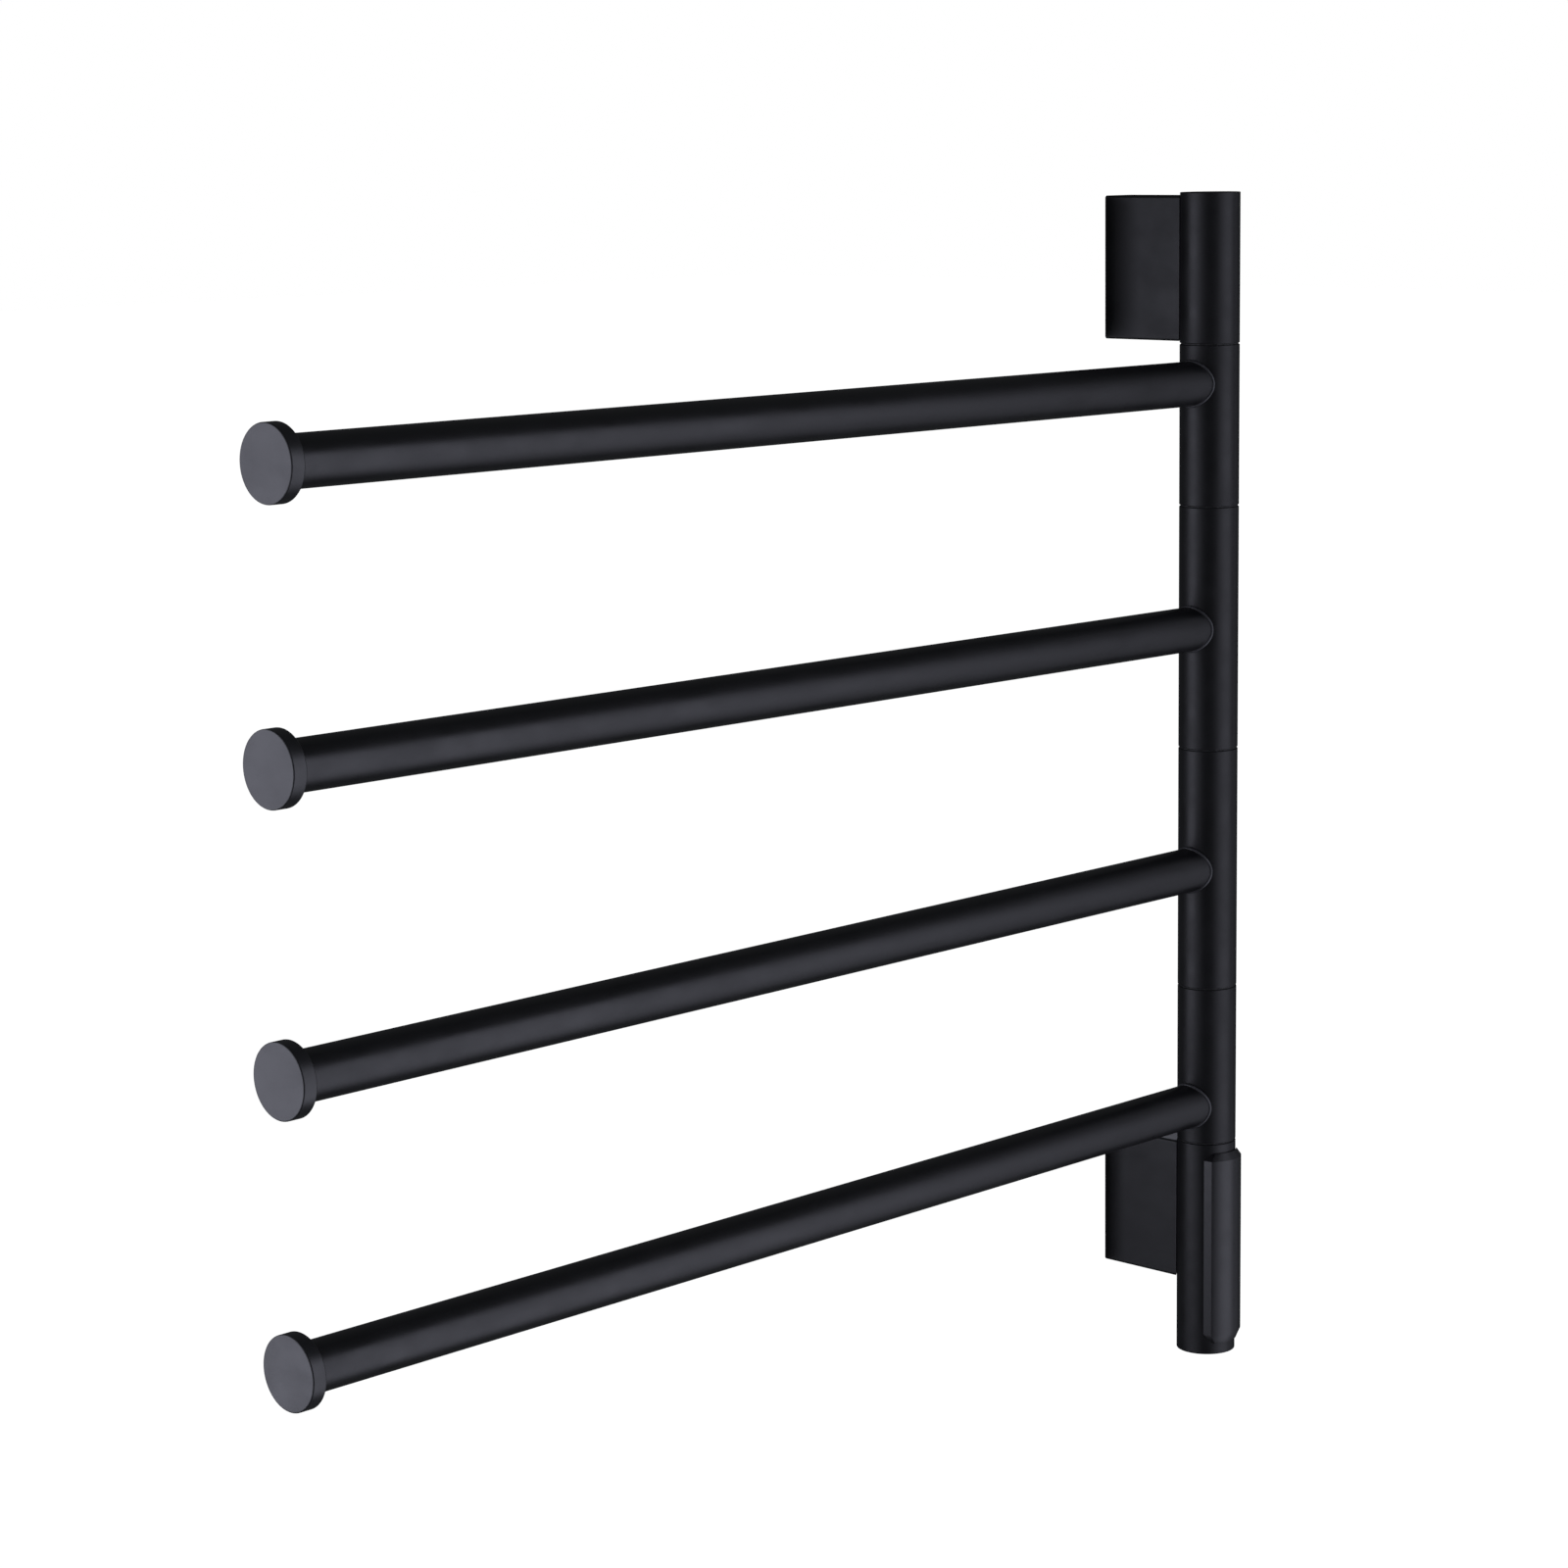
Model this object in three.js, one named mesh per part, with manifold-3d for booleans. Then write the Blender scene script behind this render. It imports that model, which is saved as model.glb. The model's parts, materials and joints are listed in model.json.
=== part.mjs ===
// A four-arm swing towel rack for a wall. Millimetres, +Z up, wall at Y = 0, room towards -Y.
// The column stands clear of the wall on two bracket blocks. Its two end sleeves are fixed, and the
// four hubs between them turn on a rod inside, each with a bar for towels. The origin is the middle
// of the lower block's wall face.
import * as THREE from "three";
import { mergeVertices } from "three/addons/utils/BufferGeometryUtils.js";
import Module from "manifold-3d";

const wasm = await Module();
wasm.setup();

// Column
const TUBE_R = 12.7; // outside radius of the sleeves and hubs
const TUBE_WALL = 1.8;
const UPPER_SLEEVE = 63.5; // heights of the two fixed ends
const LOWER_SLEEVE = 94.5;
const SEAM = 1; // joint line between a hub and its neighbour
const EASE = 0.4; // eased outer edge of every tube and cap
const PLUG_LENGTH = 5; // end plugs that close the column

// Arms, counted from the top
const PITCH = 104.3; // bar to bar
const END_REACH = 16.5; // first and last bar to the sleeve next to it
const ARM_REACH = 511; // column axis to the face of a bar's cap
const BAR_R = 9.5;
const BAR_WALL = 1.2;
const CAP_R = 14;
const CAP_THICKNESS = 6;
const SWUNG_OUT = [0.45, 0, 0, 0]; // degrees that each bar stands out from parallel to the wall
const HANG = [0, 0, 0.5, 0.5]; // degrees that each bar hangs below level, from play in its bushes

// Rod and what turns on it
const ROD_R = 5;
const BUSH_LENGTH = 10;
const WASHER_THICKNESS = 0.5;
const WASHER_INSET = 0.5; // slide washers are this much smaller than the column
const WAVE_ROOM = 3; // depth of the recess that holds the wave washer
const WAVE_HEIGHT = 0.6; // how far its waves rise and fall
const WAVES = 3;
const UPPER_ANCHOR_LENGTH = 24;
const UPPER_ANCHOR_BOTTOM = 6; // its solid end
const LOWER_ANCHOR_LENGTH = 18;
const NUT_THICKNESS = 6;
const NUT_SLOT = 3; // spanner slot across the nut's lower face
const ROD_PAST_NUT = 2;

// Brackets
const STANDOFF = 50; // wall to column axis
const BLOCK_WIDTH = 18;
const BLOCK_TOP_INSET = 1.5; // sleeve's top edge to the block's
const BLOCK_BOTTOM_INSET = 1; // the upper block's lower edge to the seam
const BLOCK_ROUND = 1.2;
const BLOCK_WALL = 2.5;
const BLOCK_FRONT = 10; // solid metal between the block's hollow and the sleeve
const PLATE_THICKNESS = 3;
const WALL_HOLE_EDGE = 10; // wall screws' holes from the plate's upper edge and from its tongue
const WALL_HOLE_R = 2.4;
const COUNTERSINK_R = 4.2;
const TONGUE_DEPTH = 12; // tongue on the wall plate that the set screw bears on
const TONGUE_HEIGHT = 8;
const TONGUE_WIDTH = 8;
const TONGUE_LIFT = 3; // tongue's underside above the plate's lower edge

// Cover strip over the lock screws
const COVER_THICKNESS = 2.2;
const COVER_HALF_WIDTH = 10.5;
const COVER_TOP_INSET = 4.2;
const COVER_TOP_BEVEL = 3.1;
const COVER_BOTTOM_INSET = 5;
const COVER_BOTTOM_BEVEL = 4.3;
const COVER_PEG_R = 1.8;
const COVER_PEG_RISE = 9.5; // lower peg above the cover's lower end

// Screws
const SCREW_R = 2.5; // block, bar and set screws
const HEAD_R = 4.4;
const HEAD_THICKNESS = 2;
const HEAD_CROWN_R = 2.6; // flat top of a button head
const HEAD_RIM = 0.6; // straight part of a button head
const LOCK_SCREW_R = 2;
const LOCK_SCREW_EDGE = 4.5; // lock screws from the rod anchor's ends
const BLOCK_SCREW_SPACING = 12; // between the lower block's two screws
const HEAD_ROOM = 1.5; // block screws' heads to the end plug, rod anchor or rod
const SET_SCREW_RECESS = 0.5;
const BAR_ANCHOR_LENGTH = 16;

// Clearances
const GAP = 0.3; // between pieces that touch
const RUN = 0.15; // bore round the rod
const PAST = 1; // how far a cut starts and ends beyond the metal it goes through

// Flat sides that stand for a round
const TUBE_SIDES = 40;
const BAR_SIDES = 36;
const CAP_SIDES = 36;
const WAVE_SIDES = 36;
const INNER_SIDES = 20;
const SCREW_SIDES = 12;

const BORE_R = TUBE_R - TUBE_WALL;
const INSERT_R = BORE_R - GAP; // what is pressed into a sleeve or hub
const ROD_BORE_R = ROD_R + RUN;
const BAR_BORE_R = BAR_R - BAR_WALL;
const SEAT_R = TUBE_R + GAP; // what is shaped to sit on the column
const ARMS = SWUNG_OUT.length;
const HUB_STACK = 2 * END_REACH + (ARMS - 1) * PITCH;
const BLOCK_HEIGHT = UPPER_SLEEVE - BLOCK_TOP_INSET - BLOCK_BOTTOM_INSET;
const LOWER_TOP = BLOCK_HEIGHT / 2 + BLOCK_TOP_INSET; // top of the lower sleeve
const LOWER_END = LOWER_TOP - LOWER_SLEEVE;
const UPPER_START = LOWER_TOP + HUB_STACK; // foot of the upper sleeve
const COLUMN_TOP = UPPER_START + UPPER_SLEEVE;
const UPPER_BLOCK_Z = COLUMN_TOP - BLOCK_TOP_INSET - BLOCK_HEIGHT / 2;
const LOWER_ANCHOR_TOP = LOWER_TOP - WAVE_ROOM;
const LOWER_ANCHOR_FOOT = LOWER_ANCHOR_TOP - LOWER_ANCHOR_LENGTH;
const UPPER_ANCHOR_FOOT = UPPER_START + SEAM;
const UPPER_ANCHOR_TOP = UPPER_ANCHOR_FOOT + UPPER_ANCHOR_LENGTH;
const NUT_FOOT = LOWER_ANCHOR_FOOT - GAP - NUT_THICKNESS;
const LOCK_SCREW_HEIGHTS = [LOWER_ANCHOR_TOP - LOCK_SCREW_EDGE, LOWER_ANCHOR_FOOT + LOCK_SCREW_EDGE];
const COVER_TOP = LOWER_TOP - COVER_TOP_INSET;
const COVER_FOOT = LOWER_END + COVER_BOTTOM_INSET;
const PEG_HEIGHTS = [NUT_FOOT, COVER_FOOT + COVER_PEG_RISE];
const HEAD_SEAT = Math.sqrt((BORE_R - GAP) ** 2 - HEAD_R ** 2); // heads on the round inner wall

const coat = new THREE.MeshStandardMaterial({ color: 0x1b1b1e, roughness: 0.45, metalness: 0.3 });
const castCoat = new THREE.MeshStandardMaterial({ color: 0x1d1d20, roughness: 0.5, metalness: 0.3 });
const capCoat = new THREE.MeshStandardMaterial({ color: 0x232327, roughness: 0.5, metalness: 0.3 });
const steel = new THREE.MeshStandardMaterial({ color: 0x9a9da1, roughness: 0.35, metalness: 1 });
const zinc = new THREE.MeshStandardMaterial({ color: 0xb4b2a8, roughness: 0.45, metalness: 0.9 });
const nylon = new THREE.MeshStandardMaterial({ color: 0x121213, roughness: 0.6, metalness: 0 });

// --- solids ---------------------------------------------------------------------------------

function solid(geometry) {
  const bare = geometry.clone().deleteAttribute("normal").deleteAttribute("uv");
  const merged = mergeVertices(bare, 1e-4);
  return new wasm.Manifold(
    new wasm.Mesh({
      numProp: 3,
      vertProperties: merged.attributes.position.array,
      triVerts: new Uint32Array(merged.index.array),
    }),
  );
}

function faceted(body) {
  const { vertProperties, triVerts } = body.getMesh();
  return new THREE.BufferGeometry()
    .setAttribute("position", new THREE.BufferAttribute(vertProperties, 3))
    .setIndex(new THREE.BufferAttribute(triVerts, 1));
}

function cut(geometry, tools) {
  return faceted(tools.reduce((body, tool) => body.subtract(solid(tool)), solid(geometry)));
}

function join(geometry, others) {
  return faceted(others.reduce((body, other) => body.add(solid(other)), solid(geometry)));
}

// Turns an outline of [radius, height] points about Z. It runs up the outside and down the inside.
function turned(outline, sides) {
  const points = outline.map(([radius, height]) => new THREE.Vector2(radius, height));
  return new THREE.LatheGeometry(points, sides).rotateX(Math.PI / 2);
}

function plainTube(outer, inner, foot, top, sides) {
  return turned([[inner, foot], [outer, foot], [outer, top], [inner, top], [inner, foot]], sides);
}

function easedTube(outer, inner, foot, top, ease, sides) {
  const outline = [
    [inner, foot],
    [outer - ease, foot],
    [outer, foot + ease],
    [outer, top - ease],
    [outer - ease, top],
    [inner, top],
    [inner, foot],
  ];
  return turned(outline, sides);
}

function pin(radius, foot, top, sides) {
  return turned([[0, foot], [radius, foot], [radius, top], [0, top]], sides);
}

function roundedRectangle(width, height, round) {
  const [w, h] = [width / 2, height / 2];
  const outline = new THREE.Shape();
  outline.moveTo(w - round, -h);
  outline.absarc(w - round, -h + round, round, -Math.PI / 2, 0);
  outline.absarc(w - round, h - round, round, 0, Math.PI / 2);
  outline.absarc(-w + round, h - round, round, Math.PI / 2, Math.PI);
  outline.absarc(-w + round, -h + round, round, Math.PI, 1.5 * Math.PI);
  return outline;
}

// A rounded bar of metal that reaches from Y = -start out to Y = -end, towards the room.
function slab(width, height, round, start, end) {
  const options = { depth: end - start, bevelEnabled: false, curveSegments: 4 };
  return new THREE.ExtrudeGeometry(roundedRectangle(width, height, round), options)
    .rotateX(Math.PI / 2)
    .translate(0, -start, 0);
}

// A round hole or pin along Y, measured from the column axis: positive towards the wall.
function crosswise(radius, start, end, height, sides) {
  return pin(radius, start, end, sides)
    .rotateX(-Math.PI / 2)
    .translate(0, 0, height);
}

// A button-head screw along Z: its head's seat is at `seat` and its point at `point`.
function buttonScrew(seat, point) {
  const outline = [
    [0, seat - HEAD_THICKNESS],
    [HEAD_CROWN_R, seat - HEAD_THICKNESS],
    [HEAD_R, seat - HEAD_RIM],
    [HEAD_R, seat],
    [SCREW_R, seat],
    [SCREW_R, point],
    [0, point],
  ];
  return turned(outline, SCREW_SIDES);
}

// --- pieces of one arm, with the bar along +X and the hub about Z -----------------------------

function hub(below, above) {
  const shell = easedTube(TUBE_R, BORE_R, -below, above, EASE, TUBE_SIDES);
  const screwHole = pin(SCREW_R + GAP, HEAD_SEAT - PAST, TUBE_R + PAST, SCREW_SIDES).rotateY(Math.PI / 2);
  return cut(shell, [screwHole]);
}

function bar() {
  const end = ARM_REACH - CAP_THICKNESS - GAP;
  const pipe = easedTube(BAR_R, BAR_BORE_R, 0, end, EASE, BAR_SIDES).rotateY(Math.PI / 2);
  return cut(pipe, [pin(SEAT_R, -TUBE_R, TUBE_R, TUBE_SIDES)]);
}

function barAnchor() {
  const start = TUBE_R + GAP;
  return plainTube(BAR_BORE_R - GAP, SCREW_R + GAP, start, start + BAR_ANCHOR_LENGTH, INNER_SIDES)
    .rotateY(Math.PI / 2);
}

function barScrew() {
  return buttonScrew(HEAD_SEAT, TUBE_R + BAR_ANCHOR_LENGTH - GAP).rotateY(Math.PI / 2);
}

function barCap() {
  const back = ARM_REACH - CAP_THICKNESS;
  const spigot = back - CAP_R;
  const outline = [
    [0, spigot],
    [BAR_BORE_R - GAP, spigot],
    [BAR_BORE_R - GAP, back],
    [CAP_R - EASE, back],
    [CAP_R, back + EASE],
    [CAP_R, ARM_REACH - EASE],
    [CAP_R - EASE, ARM_REACH],
    [0, ARM_REACH],
  ];
  return turned(outline, CAP_SIDES).rotateY(Math.PI / 2);
}

function bush() {
  return plainTube(INSERT_R, ROD_BORE_R, 0, BUSH_LENGTH, INNER_SIDES);
}

// --- fixed pieces about the column axis -------------------------------------------------------

function upperSleeve(screwHeights) {
  const shell = easedTube(TUBE_R, BORE_R, UPPER_START + SEAM / 2, COLUMN_TOP, EASE, TUBE_SIDES);
  return cut(shell, screwHeights.map((z) => wallSideHole(z)));
}

function lowerSleeve(screwHeights) {
  const shell = easedTube(TUBE_R, BORE_R, LOWER_END, LOWER_TOP - SEAM / 2, EASE, TUBE_SIDES);
  return cut(shell, [
    ...screwHeights.map((z) => wallSideHole(z)),
    ...LOCK_SCREW_HEIGHTS.map((z) => roomSideHole(LOCK_SCREW_R, z)),
    ...PEG_HEIGHTS.map((z) => roomSideHole(COVER_PEG_R, z)),
  ]);
}

function wallSideHole(height) {
  return crosswise(SCREW_R + GAP, HEAD_SEAT - PAST, TUBE_R + PAST, height, SCREW_SIDES);
}

// It runs in to the axis, so that it opens fully into whatever bore is there.
function roomSideHole(radius, height) {
  return crosswise(radius + GAP, -TUBE_R - PAST, 0, height, SCREW_SIDES);
}

function upperRodAnchor() {
  const boreTop = UPPER_ANCHOR_TOP - UPPER_ANCHOR_BOTTOM;
  const outline = [
    [0, boreTop],
    [ROD_BORE_R, boreTop],
    [ROD_BORE_R, UPPER_ANCHOR_FOOT],
    [INSERT_R, UPPER_ANCHOR_FOOT],
    [INSERT_R, UPPER_ANCHOR_TOP],
    [0, UPPER_ANCHOR_TOP],
  ];
  return turned(outline, INNER_SIDES);
}

function lowerRodAnchor() {
  const core = plainTube(INSERT_R, ROD_BORE_R, LOWER_ANCHOR_FOOT, LOWER_ANCHOR_TOP, INNER_SIDES);
  return cut(core, LOCK_SCREW_HEIGHTS.map((z) => roomSideHole(LOCK_SCREW_R, z)));
}

function pivotRod() {
  const top = UPPER_ANCHOR_TOP - UPPER_ANCHOR_BOTTOM - GAP;
  return pin(ROD_R, NUT_FOOT - ROD_PAST_NUT, top, INNER_SIDES);
}

function rodNut() {
  const ring = plainTube(INSERT_R - GAP, ROD_BORE_R, NUT_FOOT, NUT_FOOT + NUT_THICKNESS, INNER_SIDES);
  const slot = new THREE.BoxGeometry(2 * TUBE_R, NUT_SLOT, NUT_SLOT).translate(0, 0, NUT_FOOT);
  return cut(ring, [slot]);
}

// A thin ring whose height follows a sine round the rod.
function waveWasher() {
  const inner = ROD_BORE_R + GAP;
  const outer = INSERT_R - GAP;
  const ring = plainTube(outer, inner, -WASHER_THICKNESS / 2, WASHER_THICKNESS / 2, WAVE_SIDES);
  const place = ring.attributes.position;
  for (let i = 0; i < place.count; i++) {
    const angle = Math.atan2(place.getY(i), place.getX(i));
    place.setZ(i, place.getZ(i) + WAVE_HEIGHT * Math.sin(WAVES * angle));
  }
  return ring.translate(0, 0, LOWER_TOP - WAVE_ROOM / 2);
}

function slideWasher(height) {
  const half = WASHER_THICKNESS / 2;
  return plainTube(TUBE_R - WASHER_INSET, ROD_BORE_R, height - half, height + half, INNER_SIDES);
}

function lockScrew(height) {
  return crosswise(LOCK_SCREW_R, -TUBE_R + GAP, -ROD_R - GAP, height, SCREW_SIDES);
}

function blockScrew(height) {
  return buttonScrew(HEAD_SEAT, SEAT_R + BLOCK_FRONT - GAP)
    .rotateX(-Math.PI / 2)
    .translate(0, 0, height);
}

// A curved strip whose long edges are cut straight back, with a bevel at each end.
function screwCover() {
  const outer = SEAT_R + COVER_THICKNESS;
  const outline = [
    [SEAT_R, COVER_FOOT],
    [outer, COVER_FOOT + COVER_BOTTOM_BEVEL],
    [outer, COVER_TOP - COVER_TOP_BEVEL],
    [SEAT_R, COVER_TOP],
    [SEAT_R, COVER_FOOT],
  ];
  const height = COVER_TOP - COVER_FOOT;
  const front = new THREE.BoxGeometry(2 * COVER_HALF_WIDTH, outer, 2 * height)
    .translate(0, -outer / 2 - PAST, (COVER_TOP + COVER_FOOT) / 2);
  const strip = faceted(solid(turned(outline, 2 * TUBE_SIDES)).intersect(solid(front)));
  const pegs = PEG_HEIGHTS.map((z) =>
    crosswise(COVER_PEG_R, -SEAT_R - COVER_THICKNESS / 2, -BORE_R - GAP, z, SCREW_SIDES));
  return join(strip, pegs);
}

// --- brackets, about the middle of a block's wall face ---------------------------------------

function block(screwHeights) {
  const side = Math.sqrt(SEAT_R ** 2 - (BLOCK_WIDTH / 2) ** 2); // where the block's sides meet the sleeve
  const hollowWidth = BLOCK_WIDTH - 2 * BLOCK_WALL;
  const hollowHeight = BLOCK_HEIGHT - 2 * BLOCK_WALL;
  const hollowDepth = STANDOFF - SEAT_R - BLOCK_FRONT;
  const body = slab(BLOCK_WIDTH, BLOCK_HEIGHT, BLOCK_ROUND, 0, STANDOFF - side + PAST);
  const sleeveSeat = pin(SEAT_R, -BLOCK_HEIGHT, BLOCK_HEIGHT, 2 * TUBE_SIDES);
  const setScrewHole = pin(SCREW_R + GAP, -BLOCK_HEIGHT / 2 - PAST, -hollowHeight / 2 + PAST, SCREW_SIDES);
  return cut(body, [
    slab(hollowWidth, hollowHeight, BLOCK_ROUND, -PAST, hollowDepth),
    sleeveSeat.translate(0, -STANDOFF, 0),
    setScrewHole.translate(0, setScrewY(), 0),
    ...screwHeights.map((z) => frontHole(z)),
  ]);
}

function frontHole(height) {
  return crosswise(SCREW_R + GAP, TUBE_R - PAST, SEAT_R + BLOCK_FRONT + PAST, height, SCREW_SIDES)
    .translate(0, -STANDOFF, 0);
}

function setScrewY() {
  return -PLATE_THICKNESS - TONGUE_DEPTH / 2;
}

function wallPlate() {
  const width = BLOCK_WIDTH - 2 * BLOCK_WALL - 2 * GAP;
  const height = BLOCK_HEIGHT - 2 * BLOCK_WALL - 2 * GAP;
  const [root, tip] = [PLATE_THICKNESS / 2, PLATE_THICKNESS + TONGUE_DEPTH];
  const tongueTop = -height / 2 + TONGUE_LIFT + TONGUE_HEIGHT;
  const tongue = new THREE.BoxGeometry(TONGUE_WIDTH, tip - root, TONGUE_HEIGHT)
    .translate(0, -(root + tip) / 2, tongueTop - TONGUE_HEIGHT / 2);
  const plate = join(slab(width, height, BLOCK_ROUND, 0, PLATE_THICKNESS), [tongue]);
  const flare = [
    [0, -PAST],
    [WALL_HOLE_R, -PAST],
    [WALL_HOLE_R, PLATE_THICKNESS - (COUNTERSINK_R - WALL_HOLE_R)],
    [COUNTERSINK_R, PLATE_THICKNESS],
    [COUNTERSINK_R, PLATE_THICKNESS + PAST],
    [0, PLATE_THICKNESS + PAST],
  ];
  const holes = [height / 2 - WALL_HOLE_EDGE, tongueTop + WALL_HOLE_EDGE];
  return cut(plate, holes.map((z) => turned(flare, SCREW_SIDES).rotateX(Math.PI / 2).translate(0, 0, z)));
}

function setScrew() {
  const plateFoot = -BLOCK_HEIGHT / 2 + BLOCK_WALL + GAP;
  return pin(
    SCREW_R, -BLOCK_HEIGHT / 2 + SET_SCREW_RECESS, plateFoot + TONGUE_LIFT - GAP, SCREW_SIDES,
  ).translate(0, setScrewY(), 0);
}

// --- the rack ---------------------------------------------------------------------------------

const rack = new THREE.Group();
const column = new THREE.Group();
column.position.set(0, -STANDOFF, 0);
rack.add(column);

function place(parent, name, geometry, material, height = 0) {
  const mesh = new THREE.Mesh(geometry, material);
  mesh.name = name;
  mesh.position.z = height;
  parent.add(mesh);
}

function radians(degrees) {
  return (degrees * Math.PI) / 180;
}

// Arm number `index`, from the top: its hub reaches half way to the next bar, or to the sleeve.
function addArm(index) {
  const number = index + 1;
  const above = (index === 0 ? END_REACH : PITCH / 2) - SEAM / 2;
  const below = (number === ARMS ? END_REACH : PITCH / 2) - SEAM / 2;
  const arm = new THREE.Group();
  arm.position.z = LOWER_TOP + END_REACH + (ARMS - number) * PITCH;
  arm.rotation.z = Math.PI + radians(SWUNG_OUT[index]);
  column.add(arm);
  place(arm, `hub_${number}`, hub(below, above), coat);
  place(arm, `upper_bush_${number}`, bush(), nylon, above - BUSH_LENGTH);
  place(arm, `lower_bush_${number}`, bush(), nylon, -below);
  place(arm, `bar_screw_${number}`, barScrew(), steel);

  const hanging = new THREE.Group();
  hanging.rotation.y = radians(HANG[index]);
  arm.add(hanging);
  place(hanging, `bar_${number}`, bar(), coat);
  place(hanging, `bar_anchor_${number}`, barAnchor(), steel);
  place(hanging, `bar_cap_${number}`, barCap(), capCoat);
}

function addBracket(name, middle, screwHeights) {
  const bracket = new THREE.Group();
  bracket.position.z = middle;
  rack.add(bracket);
  place(bracket, `${name}_block`, block(screwHeights.map((z) => z - middle)), castCoat);
  place(bracket, `${name}_wall_plate`, wallPlate(), zinc);
  place(bracket, `${name}_set_screw`, setScrew(), steel);
  screwHeights.forEach((z, i) => place(column, `${name}_block_screw_${i + 1}`, blockScrew(z), steel));
}

const upperScrews = [
  COLUMN_TOP - PLUG_LENGTH - HEAD_ROOM - HEAD_R,
  UPPER_ANCHOR_TOP + HEAD_ROOM + HEAD_R,
];
const underRod = NUT_FOOT - ROD_PAST_NUT - HEAD_ROOM - HEAD_R;
const lowerScrews = [underRod, underRod - BLOCK_SCREW_SPACING];
addBracket("upper", UPPER_BLOCK_Z, upperScrews);
addBracket("lower", 0, lowerScrews);
for (let index = 0; index < ARMS; index++) addArm(index);

place(column, "upper_sleeve", upperSleeve(upperScrews), coat);
place(column, "lower_sleeve", lowerSleeve(lowerScrews), coat);
place(column, "top_plug", pin(INSERT_R, COLUMN_TOP - PLUG_LENGTH, COLUMN_TOP, TUBE_SIDES), coat);
place(column, "bottom_plug", pin(INSERT_R, LOWER_END, LOWER_END + PLUG_LENGTH, TUBE_SIDES), coat);
place(column, "upper_rod_anchor", upperRodAnchor(), zinc);
place(column, "lower_rod_anchor", lowerRodAnchor(), zinc);
place(column, "pivot_rod", pivotRod(), steel);
place(column, "rod_nut", rodNut(), zinc);
place(column, "wave_washer", waveWasher(), steel);
LOCK_SCREW_HEIGHTS.forEach((z, i) => place(column, `rod_lock_screw_${i + 1}`, lockScrew(z), steel));
place(column, "screw_cover", screwCover(), coat);

// One slide washer in each seam, from the top seam down.
const seams = [UPPER_START];
for (let number = 1; number < ARMS; number++) seams.push(UPPER_START - END_REACH - (number - 0.5) * PITCH);
seams.push(LOWER_TOP);
seams.forEach((z, i) => place(column, `slide_washer_${i + 1}`, slideWasher(z), nylon));

export default rack;
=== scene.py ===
"""A four-arm swing towel rack in satin black powder coat, held on a wall by two brackets.

Metres, +Z up, wall at Y = 0, room towards -Y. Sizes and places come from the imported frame. The
values below are what the frame doesn't hold: wall thicknesses, eased edges, finishes and the studio.
"""
import json
from math import cos, pi, radians, sin, sqrt

import bmesh
import bpy
from mathutils import Matrix, Vector

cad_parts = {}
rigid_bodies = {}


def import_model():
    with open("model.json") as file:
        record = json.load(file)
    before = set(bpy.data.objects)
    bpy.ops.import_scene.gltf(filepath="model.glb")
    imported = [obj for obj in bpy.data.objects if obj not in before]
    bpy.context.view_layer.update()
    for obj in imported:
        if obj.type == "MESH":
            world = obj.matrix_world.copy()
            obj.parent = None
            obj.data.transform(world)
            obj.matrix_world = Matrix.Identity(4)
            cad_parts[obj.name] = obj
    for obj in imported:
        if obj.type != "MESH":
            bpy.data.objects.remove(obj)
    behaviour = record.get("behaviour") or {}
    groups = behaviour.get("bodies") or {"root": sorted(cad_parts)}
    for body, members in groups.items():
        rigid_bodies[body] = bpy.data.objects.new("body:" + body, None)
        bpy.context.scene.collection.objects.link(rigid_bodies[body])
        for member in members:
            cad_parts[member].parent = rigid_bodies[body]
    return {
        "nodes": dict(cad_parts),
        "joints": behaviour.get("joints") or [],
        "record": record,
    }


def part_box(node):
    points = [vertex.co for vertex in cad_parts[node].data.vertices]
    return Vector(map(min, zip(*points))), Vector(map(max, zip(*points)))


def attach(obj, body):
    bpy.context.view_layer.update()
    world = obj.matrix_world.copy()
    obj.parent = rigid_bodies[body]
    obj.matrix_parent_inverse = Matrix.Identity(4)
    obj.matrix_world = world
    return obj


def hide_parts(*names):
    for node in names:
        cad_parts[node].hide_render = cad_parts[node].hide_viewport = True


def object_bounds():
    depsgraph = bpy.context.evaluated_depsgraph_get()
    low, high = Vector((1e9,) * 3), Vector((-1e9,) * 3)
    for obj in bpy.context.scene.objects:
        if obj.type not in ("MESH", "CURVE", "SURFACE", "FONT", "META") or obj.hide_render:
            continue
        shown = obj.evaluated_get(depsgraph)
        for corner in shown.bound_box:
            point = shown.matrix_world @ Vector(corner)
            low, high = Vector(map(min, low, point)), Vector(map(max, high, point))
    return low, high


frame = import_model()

MM = 0.001
ARMS = (1, 2, 3, 4)
SHARP_TURN = radians(26)  # an edge that turns by more than this is shaded sharp

# Tubes
COLUMN_WALL = 1.8 * MM
BAR_WALL = 1.2 * MM
TUBE_EASE = 0.35 * MM
SEAM_CLOSE = 0.2 * MM  # added to each tube end over its solid, so that the joint lines are fine
COLUMN_SIDES = 128
BAR_SIDES = 96
EASE_STEPS = 4
BEVEL_STEPS = 4
BEVEL_FROM = radians(30)  # an edge that turns by more than this is eased

# The saddle where a bar meets its hub
SADDLE_GAP = 0.08 * MM
SADDLE_EASE = 0.3 * MM
BEAD_R = 0.75 * MM
BEAD_MARK = "bead"  # the attribute that marks the bead's faces, where the painted highlight goes
# a painted highlight: this paler colour stands in for the light that the weld bead catches
BEAD_HIGHLIGHT_SHADE = (0.075, 0.075, 0.083)
BEAD_SIDES = 20
BEAD_SINK = 0.15  # how much of its radius the bead's middle lies under the bar's surface

# Caps and plugs
CAP_THICKNESS = 6 * MM
CAP_EASE = 0.5 * MM
PLUG_EASE = 0.25 * MM

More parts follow.
